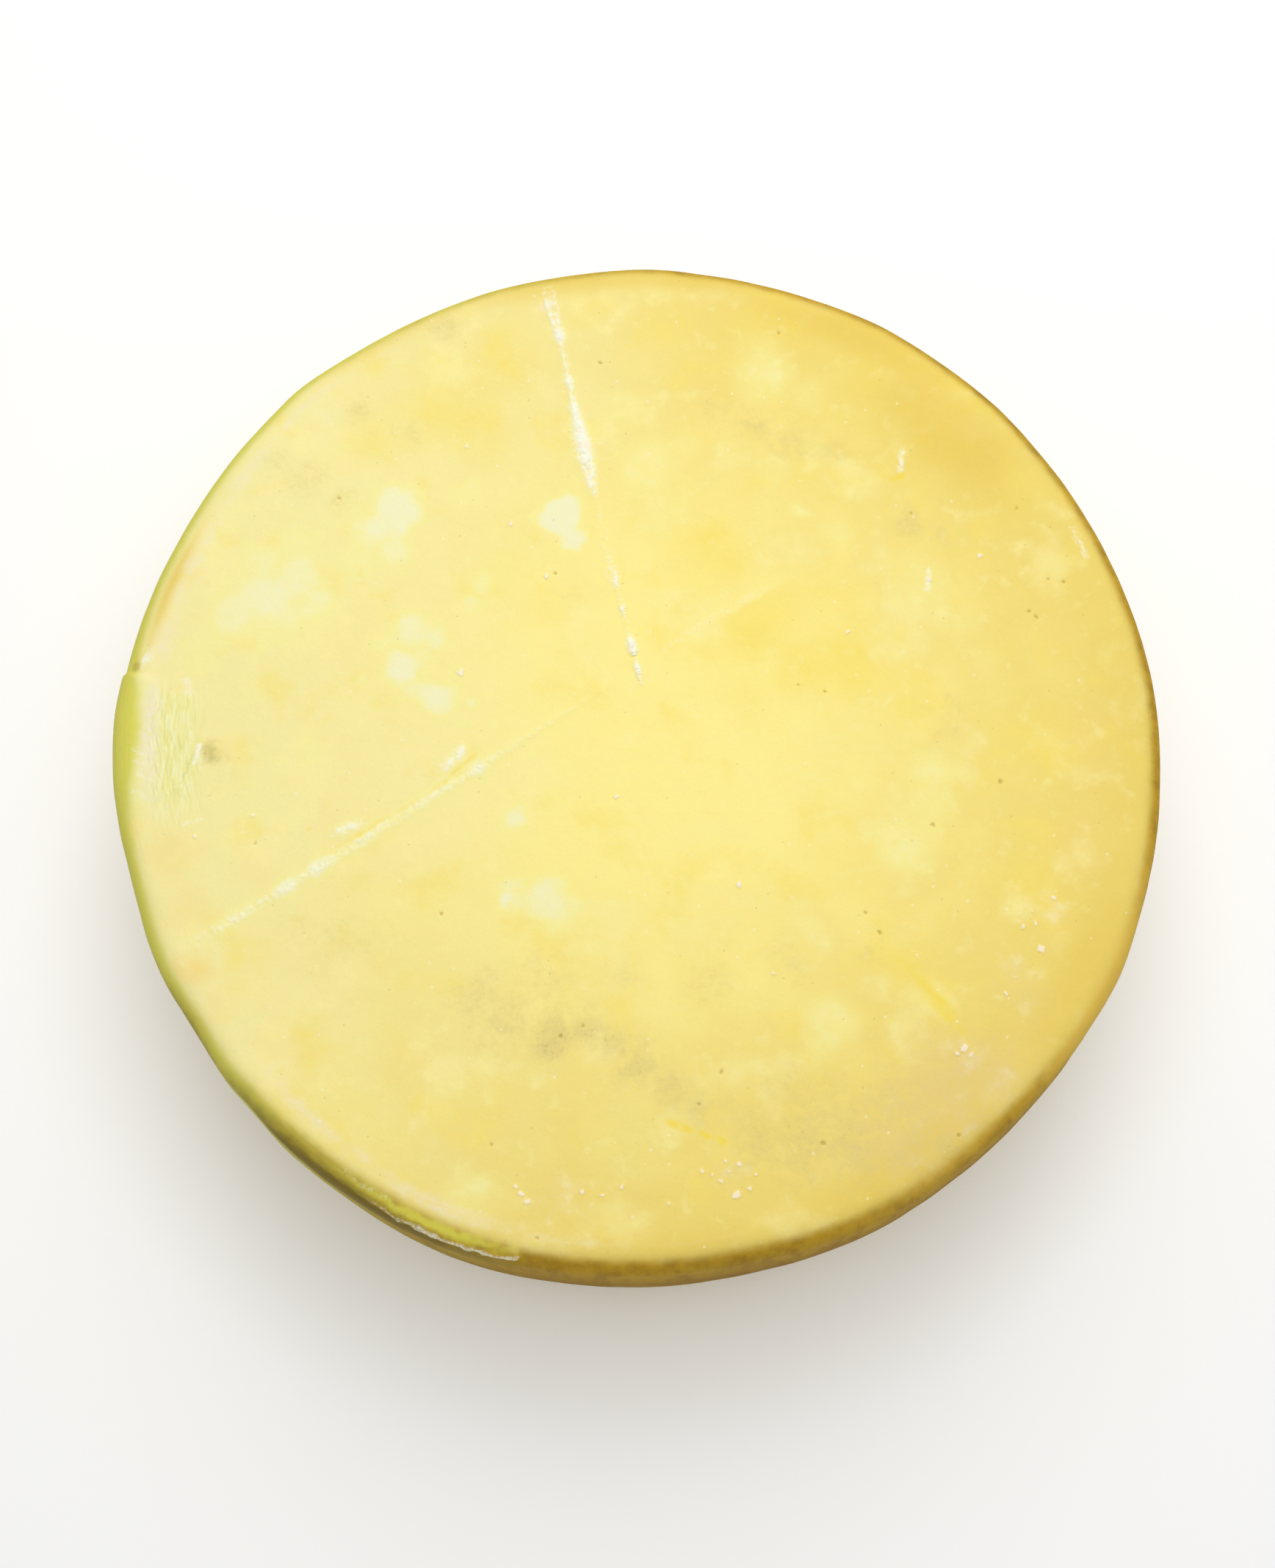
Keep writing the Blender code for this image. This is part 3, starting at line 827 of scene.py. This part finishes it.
rind = bpy.data.materials.new("rind")
rind.use_nodes = True
tree = rind.node_tree
shader = tree.nodes["Principled BSDF"]


def put(socket, value):
    """Links an output to a socket, or sets the socket's value."""
    if isinstance(value, bpy.types.NodeSocket):
        tree.links.new(value, socket)
    else:
        socket.default_value = value


def node(kind, inputs=(), **settings):
    """A new node with some settings and inputs, the inputs by their place or name."""
    made = tree.nodes.new(kind)
    for key, value in settings.items():
        setattr(made, key, value)
    for key, value in dict(inputs).items():
        put(made.inputs[key], value)
    return made


def layer_of(name):
    """The number that the mesh keeps under a name."""
    return node("ShaderNodeAttribute", attribute_name=name).outputs["Fac"]


place = node("ShaderNodeTexCoord").outputs["Object"]


def noise_of(size, detail=2.0, roughness=0.5, stretch=(1, 1, 1), shift=0.0):
    """Noise from 0 to 1 with lumps of a size in mm, and another pattern for each shift."""
    change = {0: place, 1: stretch, 2: (shift, shift, 0)}
    moved = node("ShaderNodeVectorMath", change, operation="MULTIPLY_ADD").outputs[0]
    scale = 1 / (size * MM)
    inputs = {"Vector": moved, "Scale": scale, "Detail": detail, "Roughness": roughness}
    return node("ShaderNodeTexNoise", inputs).outputs["Fac"]


def maths(operation, first, second, third=0.0):
    """A sum, product or other result of two or three numbers."""
    return node("ShaderNodeMath", {0: first, 1: second, 2: third}, operation=operation).outputs[0]


def graded(value, low, high, lowest=0.0, highest=1.0):
    """A number turned softly from one span into another."""
    spans = {"From Min": low, "From Max": high, "To Min": lowest, "To Max": highest}
    inputs = {"Value": value, **spans}
    return node("ShaderNodeMapRange", inputs, interpolation_type="SMOOTHSTEP").outputs[0]


def mixed(share, under, over):
    """One colour laid over another by a share."""
    made = node("ShaderNodeMix", {0: share, 6: under, 7: over}, data_type="RGBA")
    return made.outputs[2]


def unsettled(value, lumps, spread, middle=0.5):
    """A number pushed up and down by noise."""
    return maths("MULTIPLY_ADD", maths("SUBTRACT", lumps, middle), spread, value)


def broken(name, lumps, spread, low, high, most=1.0):
    """A layer's number with its edge broken up by noise, and sharpened."""
    return graded(unsettled(layer_of(name), lumps, spread), low, high, 0, most)


def dots(spacing, radius, share, shift):
    """Small dots in a share of the cells of a given spacing in mm."""
    moved = node("ShaderNodeVectorMath", {0: place, 1: (shift, 0, 0)}, operation="ADD").outputs[0]
    cells = node("ShaderNodeTexVoronoi", {"Vector": moved, "Scale": 1 / (spacing * MM)})
    picked = node("ShaderNodeSeparateColor", {0: cells.outputs["Color"]}).outputs[0]
    inside = graded(cells.outputs["Distance"], radius / spacing, 0.5 * radius / spacing)
    return maths("MULTIPLY", inside, maths("LESS_THAN", picked, share))


# %% [markdown]
# The ground is not one yellow. It is warmer towards the rim, and paler and a little greener
# towards the left, with clouds of both through it. The paler left is partly the rind's own
# tone and partly a painted reflection, a soft veil of light on the coating. Then come the
# deeper yellow, with painted shade in the hollow by the right crease, the orange blush and,
# over all of them, the riper gold along the rim.

# %% Mix the ground
MIDDLE_GROUND = screen(254, 237, 145)
PALE_GROUND_AND_REFLECTION = screen(246, 236, 166)
WARM_GROUND = screen(239, 215, 114)
LIGHT_CLOUD = screen(252, 240, 162)
DEEP_YELLOW_AND_SHADE = screen(248, 224, 104)
BLUSH = screen(247, 215, 126)
RIPE = screen(232, 201, 88)

axes = node("ShaderNodeSeparateXYZ", {0: place})
big_clouds = noise_of(70, 2)
mid_clouds = noise_of(24, 4, 0.55)
other_clouds = noise_of(19, 4, 0.55, shift=3.0)
small_clouds = noise_of(6, 4, 0.6)
grains = noise_of(2.6, 4, 0.7)
fine_grain = noise_of(1.3, 2, 0.6)
finest_grain = noise_of(0.6, 2, 0.6)

leftward = maths("MULTIPLY", axes.outputs["X"], -1)
leftward = maths("MULTIPLY_ADD", axes.outputs["Y"], 0.15, leftward)
on_plan = node("ShaderNodeCombineXYZ", {"X": axes.outputs["X"], "Y": axes.outputs["Y"]})
from_middle = node("ShaderNodeVectorMath", {0: on_plan.outputs[0]}, operation="LENGTH")
rimward = unsettled(from_middle.outputs["Value"], mid_clouds, 0.12)
ground = mixed(graded(rimward, 0.03, 0.16), MIDDLE_GROUND, WARM_GROUND)
# Paler towards the left: partly the rind's own tone, partly a painted reflection, a soft veil of
# light on the coating.
pale_and_reflection_share = unsettled(leftward, big_clouds, 0.15)
ground = mixed(graded(pale_and_reflection_share, -0.03, 0.13, 0, 0.9), ground, PALE_GROUND_AND_REFLECTION)
# Deep yellow, and the painted shade in the hollow by the right crease.
ground = mixed(broken("deep_yellow_and_hollow_shade", other_clouds, 0.5, 0.05, 0.9, 0.8), ground, DEEP_YELLOW_AND_SHADE)
ground = mixed(broken("blush", mid_clouds, 0.5, 0.1, 1.0, 0.7), ground, BLUSH)
ground = mixed(graded(mid_clouds, 0.5, 0.7, 0, 0.55), ground, LIGHT_CLOUD)
ground = mixed(graded(other_clouds, 0.52, 0.72, 0, 0.4), ground, DEEP_YELLOW_AND_SHADE)
ground = mixed(graded(small_clouds, 0.54, 0.72, 0, 0.3), ground, LIGHT_CLOUD)
ground = mixed(graded(small_clouds, 0.44, 0.28, 0, 0.12), ground, BLUSH)
ground = mixed(broken("ripe", mid_clouds, 0.3, 0.05, 1.0, 0.72), ground, RIPE)

# %% [markdown]
# ## Layers on the ground
# Each layer covers what lies under it: pale patches with a cream middle, grey-olive
# smudges with fine dots in them, the duller tan, golden streaks, the coating with its
# hair-thin wrinkles drawn as painted highlight and painted shade, pinkish scuffs with a
# painted highlight along the edge, and dark strokes. Small dots, darker and paler than the
# rind, lie all over the top.

# %% Lay on the layers of the top
PATCH_RIM = screen(248, 239, 154)
PATCH_CREAM = screen(244, 241, 198)
SMUDGE = screen(219, 200, 126)
SMUDGE_DOT = screen(168, 156, 104)
GOLD = screen(246, 219, 76)
PINK_AND_EDGE_HIGHLIGHT = screen(243, 231, 198)
DULL_PINK = screen(232, 205, 138)
SHADE = screen(176, 180, 96)
COAT = screen(238, 235, 158)
WRINKLE_HIGHLIGHT = screen(248, 246, 205)
WRINKLE_SHADE = screen(212, 208, 118)
PALE_DOT = screen(253, 243, 205)

colour = mixed(broken("pale", small_clouds, 0.35, 0.1, 1.0, 0.9), ground, PATCH_RIM)
colour = mixed(broken("pale", small_clouds, 0.5, 0.55, 1.15, 0.9), colour, PATCH_CREAM)
smudge = layer_of("smudge")
smudge_cover = graded(unsettled(unsettled(smudge, small_clouds, 0.7), grains, 1.1), 0, 1.2, 0, 0.8)
colour = mixed(maths("MULTIPLY", smudge_cover, graded(smudge, 0, 0.2)), colour, SMUDGE)
smudge_dots = maths("MULTIPLY", graded(fine_grain, 0.6, 0.7), graded(smudge, 0.35, 1, 0, 0.45))
colour = mixed(smudge_dots, colour, SMUDGE_DOT)
colour = mixed(broken("dull", grains, 0.7, 0.1, 1.1, 0.8), colour, DULL_PINK)
colour = mixed(broken("gold", small_clouds, 0.5, 0.2, 0.8, 0.85), colour, GOLD)
colour = mixed(broken("coat", small_clouds, 0.6, 0.2, 0.9, 0.7), colour, COAT)
# Hair-thin light and dark lines on the wrinkled coating: painted highlight and painted shade of
# its fine wrinkles.
wrinkle_light_and_shade = noise_of(0.9, 2, 0.6, stretch=(1, 0.12, 1))
hairy = layer_of("wrinkled")
colour = mixed(maths("MULTIPLY", graded(wrinkle_light_and_shade, 0.5, 0.62, 0, 0.55), hairy), colour, WRINKLE_HIGHLIGHT)
colour = mixed(maths("MULTIPLY", graded(wrinkle_light_and_shade, 0.48, 0.36, 0, 0.25), hairy), colour, WRINKLE_SHADE)
# Pinkish scuffs, and the painted highlight along the edge.
pinkish_and_highlight = broken("pink_scuffs_and_edge_highlight", small_clouds, 0.9, 0.1, 1.0)
pinkish_and_highlight = maths("MULTIPLY", pinkish_and_highlight, graded(fine_grain, 0.3, 0.6, 0.35, 0.9))
colour = mixed(maths("MULTIPLY", pinkish_and_highlight, graded(layer_of("pink_scuffs_and_edge_highlight"), 0, 0.15)), colour, PINK_AND_EDGE_HIGHLIGHT)
colour = mixed(broken("shade", fine_grain, 0.3, 0.2, 0.9, 0.6), colour, SHADE)
colour = mixed(maths("MULTIPLY", dots(4.5, 0.45, 0.3, 0.5), 0.25), colour, SMUDGE_DOT)
colour = mixed(maths("MULTIPLY", dots(5.5, 0.6, 0.4, 2.0), 0.5), colour, PALE_DOT)

# %% [markdown]
# The wall is rubbed less than the top and keeps more colour. It is golden with streaks of
# brown, and browner further down, which is painted shade. At the left it turns yellow-green,
# and under the lip it is painted olive shade.
# Low down it is straw yellow with golden clouds, which starts lower at the front.

# %% Lay on the wall's colours
WALL_GOLD = screen(200, 160, 42)
WALL_BROWN_AND_SHADE = screen(146, 108, 24)
WALL_GREEN = screen(222, 217, 98)
LIP_GREEN = screen(228, 219, 88)
WALL_OLIVE_SHADE = screen(126, 106, 36)
WALL_PAINTED_LIGHT = screen(238, 200, 88)
WALL_STRAW = screen(226, 198, 98)

streaky = noise_of(5, 4, 0.6, stretch=(1, 1, 0.25))
greenward = unsettled(leftward, mid_clouds, 0.1)
downward_shade = graded(axes.outputs["Z"], 0.090, 0.055)
side_colour = mixed(graded(streaky, 0.35, 0.75, 0, 0.6), WALL_GOLD, WALL_BROWN_AND_SHADE)
# Browner further down the wall: painted shade.
side_colour = mixed(maths("MULTIPLY", downward_shade, 0.8), side_colour, WALL_BROWN_AND_SHADE)
side_colour = mixed(graded(greenward, 0.0, 0.14, 0, 0.95), side_colour, WALL_GREEN)
front_lift = graded(axes.outputs["Y"], -0.08, -0.13, 0, 0.03)
level = maths("ADD", unsettled(axes.outputs["Z"], mid_clouds, 0.05), front_lift)
side_colour = mixed(graded(level, 0.093, 0.05, 0, 0.9), side_colour, WALL_STRAW)
golden = maths("MULTIPLY", graded(other_clouds, 0.35, 0.85, 0, 0.6), graded(level, 0.09, 0.06))
side_colour = mixed(golden, side_colour, WALL_GOLD)
# Painted olive shade under the lip and at the lower left.
side_colour = mixed(broken("olive_wall_shade", small_clouds, 0.5, 0.15, 0.85, 0.9), side_colour, WALL_OLIVE_SHADE)
# Painted light on the wall at the lower right.
side_colour = mixed(broken("wall_painted_light", small_clouds, 0.4, 0.1, 0.9, 0.9), side_colour, WALL_PAINTED_LIGHT)
colour = mixed(graded(layer_of("wall"), 0.0, 1.0), colour, side_colour)
colour = mixed(broken("lip", grains, 0.7, 0.05, 0.95, 0.9), colour, LIP_GREEN)

# %% [markdown]
# Last come the marks that lie over every other colour. A crest is rubbed and dry, so two
# sizes of fine noise crumble its edges, and its white turns pinkish here and there. Specks
# and pits each take one colour.

# %% Lay on the crests, specks and pits
CREST = screen(248, 249, 226)
SPECK = screen(252, 238, 212)
PIT = screen(178, 150, 76)

whiteness = layer_of("crest")
rubbed = unsettled(unsettled(whiteness, fine_grain, 0.9, 0.45), finest_grain, 0.5)
cover = maths("MULTIPLY", graded(rubbed, 0.08, 0.85, 0, 0.95), graded(whiteness, 0.02, 0.15))
crest_colour = mixed(graded(noise_of(5, 2, shift=7.0), 0.45, 0.65, 0, 0.7), CREST, SPECK)
colour = mixed(cover, colour, crest_colour)
colour = mixed(graded(layer_of("speck"), 0.2, 0.9, 0, 0.8), colour, SPECK)
colour = mixed(graded(layer_of("pit"), 0.2, 1.0, 0, 0.5), colour, PIT)
put(shader.inputs["Base Color"], colour)

# %% [markdown]
# ## Sheen and fine relief
# The coating is a thin film over soft cheese: it shines softly, and light goes a little way
# in, which rounds off the shading. Grain and small lumps too fine for the mesh are bump.

# %% Finish the surface
uneven_shine = unsettled(0.48, small_clouds, 0.25)
dulled = maths("MULTIPLY_ADD", layer_of("wall"), 0.35, graded(layer_of("pale"), 0.2, 1, 0, 0.08))
put(shader.inputs["Roughness"], maths("ADD", uneven_shine, dulled))
shader.inputs["IOR"].default_value = 1.45
shader.inputs["Specular IOR Level"].default_value = 0.12
shader.inputs["Coat Weight"].default_value = 0.03
shader.inputs["Coat Roughness"].default_value = 0.25
shader.inputs["Subsurface Weight"].default_value = 0.12
shader.inputs["Subsurface Radius"].default_value = (1.0, 0.6, 0.25)
shader.inputs["Subsurface Scale"].default_value = 2.5 * MM

low_lumps = {"Strength": 0.35, "Distance": 0.5 * MM, "Height": noise_of(4, 4, 0.6)}
lumpy = node("ShaderNodeBump", low_lumps).outputs[0]
grain = {"Strength": 0.25, "Distance": 0.15 * MM, "Height": fine_grain, "Normal": lumpy}
put(shader.inputs["Normal"], node("ShaderNodeBump", grain).outputs[0])
wheel.data.materials.append(rind)
print("rind nodes:", len(tree.nodes))

# %% [markdown]
# ## The studio
# The wheel lies on a plain pale floor under soft light: a wide panel behind it, a stronger
# one above it, and an even surrounding. The floor glows a little, so that it stays pale
# right up to the wheel.

# %% Floor, lights and surroundings
FLOOR_SIZE = 3.0
FLOOR_GLOW = 0.07
SURROUNDING = 0.27

floor_cage = bmesh.new()
bmesh.ops.create_grid(floor_cage, x_segments=1, y_segments=1, size=FLOOR_SIZE)
floor = bpy.data.objects.new("floor", bpy.data.meshes.new("floor"))
floor_cage.to_mesh(floor.data)
floor_cage.free()
bpy.context.scene.collection.objects.link(floor)
floor_paint = bpy.data.materials.new("floor")
floor_paint.use_nodes = True
floor_shader = floor_paint.node_tree.nodes["Principled BSDF"]
floor_shader.inputs["Base Color"].default_value = screen(250, 250, 249)
floor_shader.inputs["Roughness"].default_value = 0.8
floor_shader.inputs["Emission Strength"].default_value = FLOOR_GLOW
floor.data.materials.append(floor_paint)


def panel(name, position, size, power):
    """A square light panel that faces the wheel."""
    light = bpy.data.lights.new(name, "AREA")
    light.size = size
    light.energy = power
    thing = bpy.data.objects.new(name, light)
    thing.location = position
    aim = Vector((0, 0, HEIGHT)) - thing.location
    thing.rotation_mode = "QUATERNION"
    thing.rotation_quaternion = aim.to_track_quat("-Z", "Y")
    bpy.context.scene.collection.objects.link(thing)
    return thing


panel("behind", position=(0.05, 1.0, 1.3), size=1.2, power=9)
panel("overhead", position=(0.1, 0.1, 1.8), size=1.8, power=19.5)
world = bpy.data.worlds.new("studio")
world.use_nodes = True
background = world.node_tree.nodes["Background"]
background.inputs["Color"].default_value = (1, 1, 1, 1)
background.inputs["Strength"].default_value = SURROUNDING
bpy.context.scene.world = world
bpy.context.scene.view_settings.view_transform = "Standard"
print("light panels:", len(bpy.data.lights))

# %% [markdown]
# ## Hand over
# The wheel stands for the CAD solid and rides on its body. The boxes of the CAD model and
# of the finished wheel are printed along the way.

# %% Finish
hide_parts("cheese_wheel")
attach(wheel, "root")
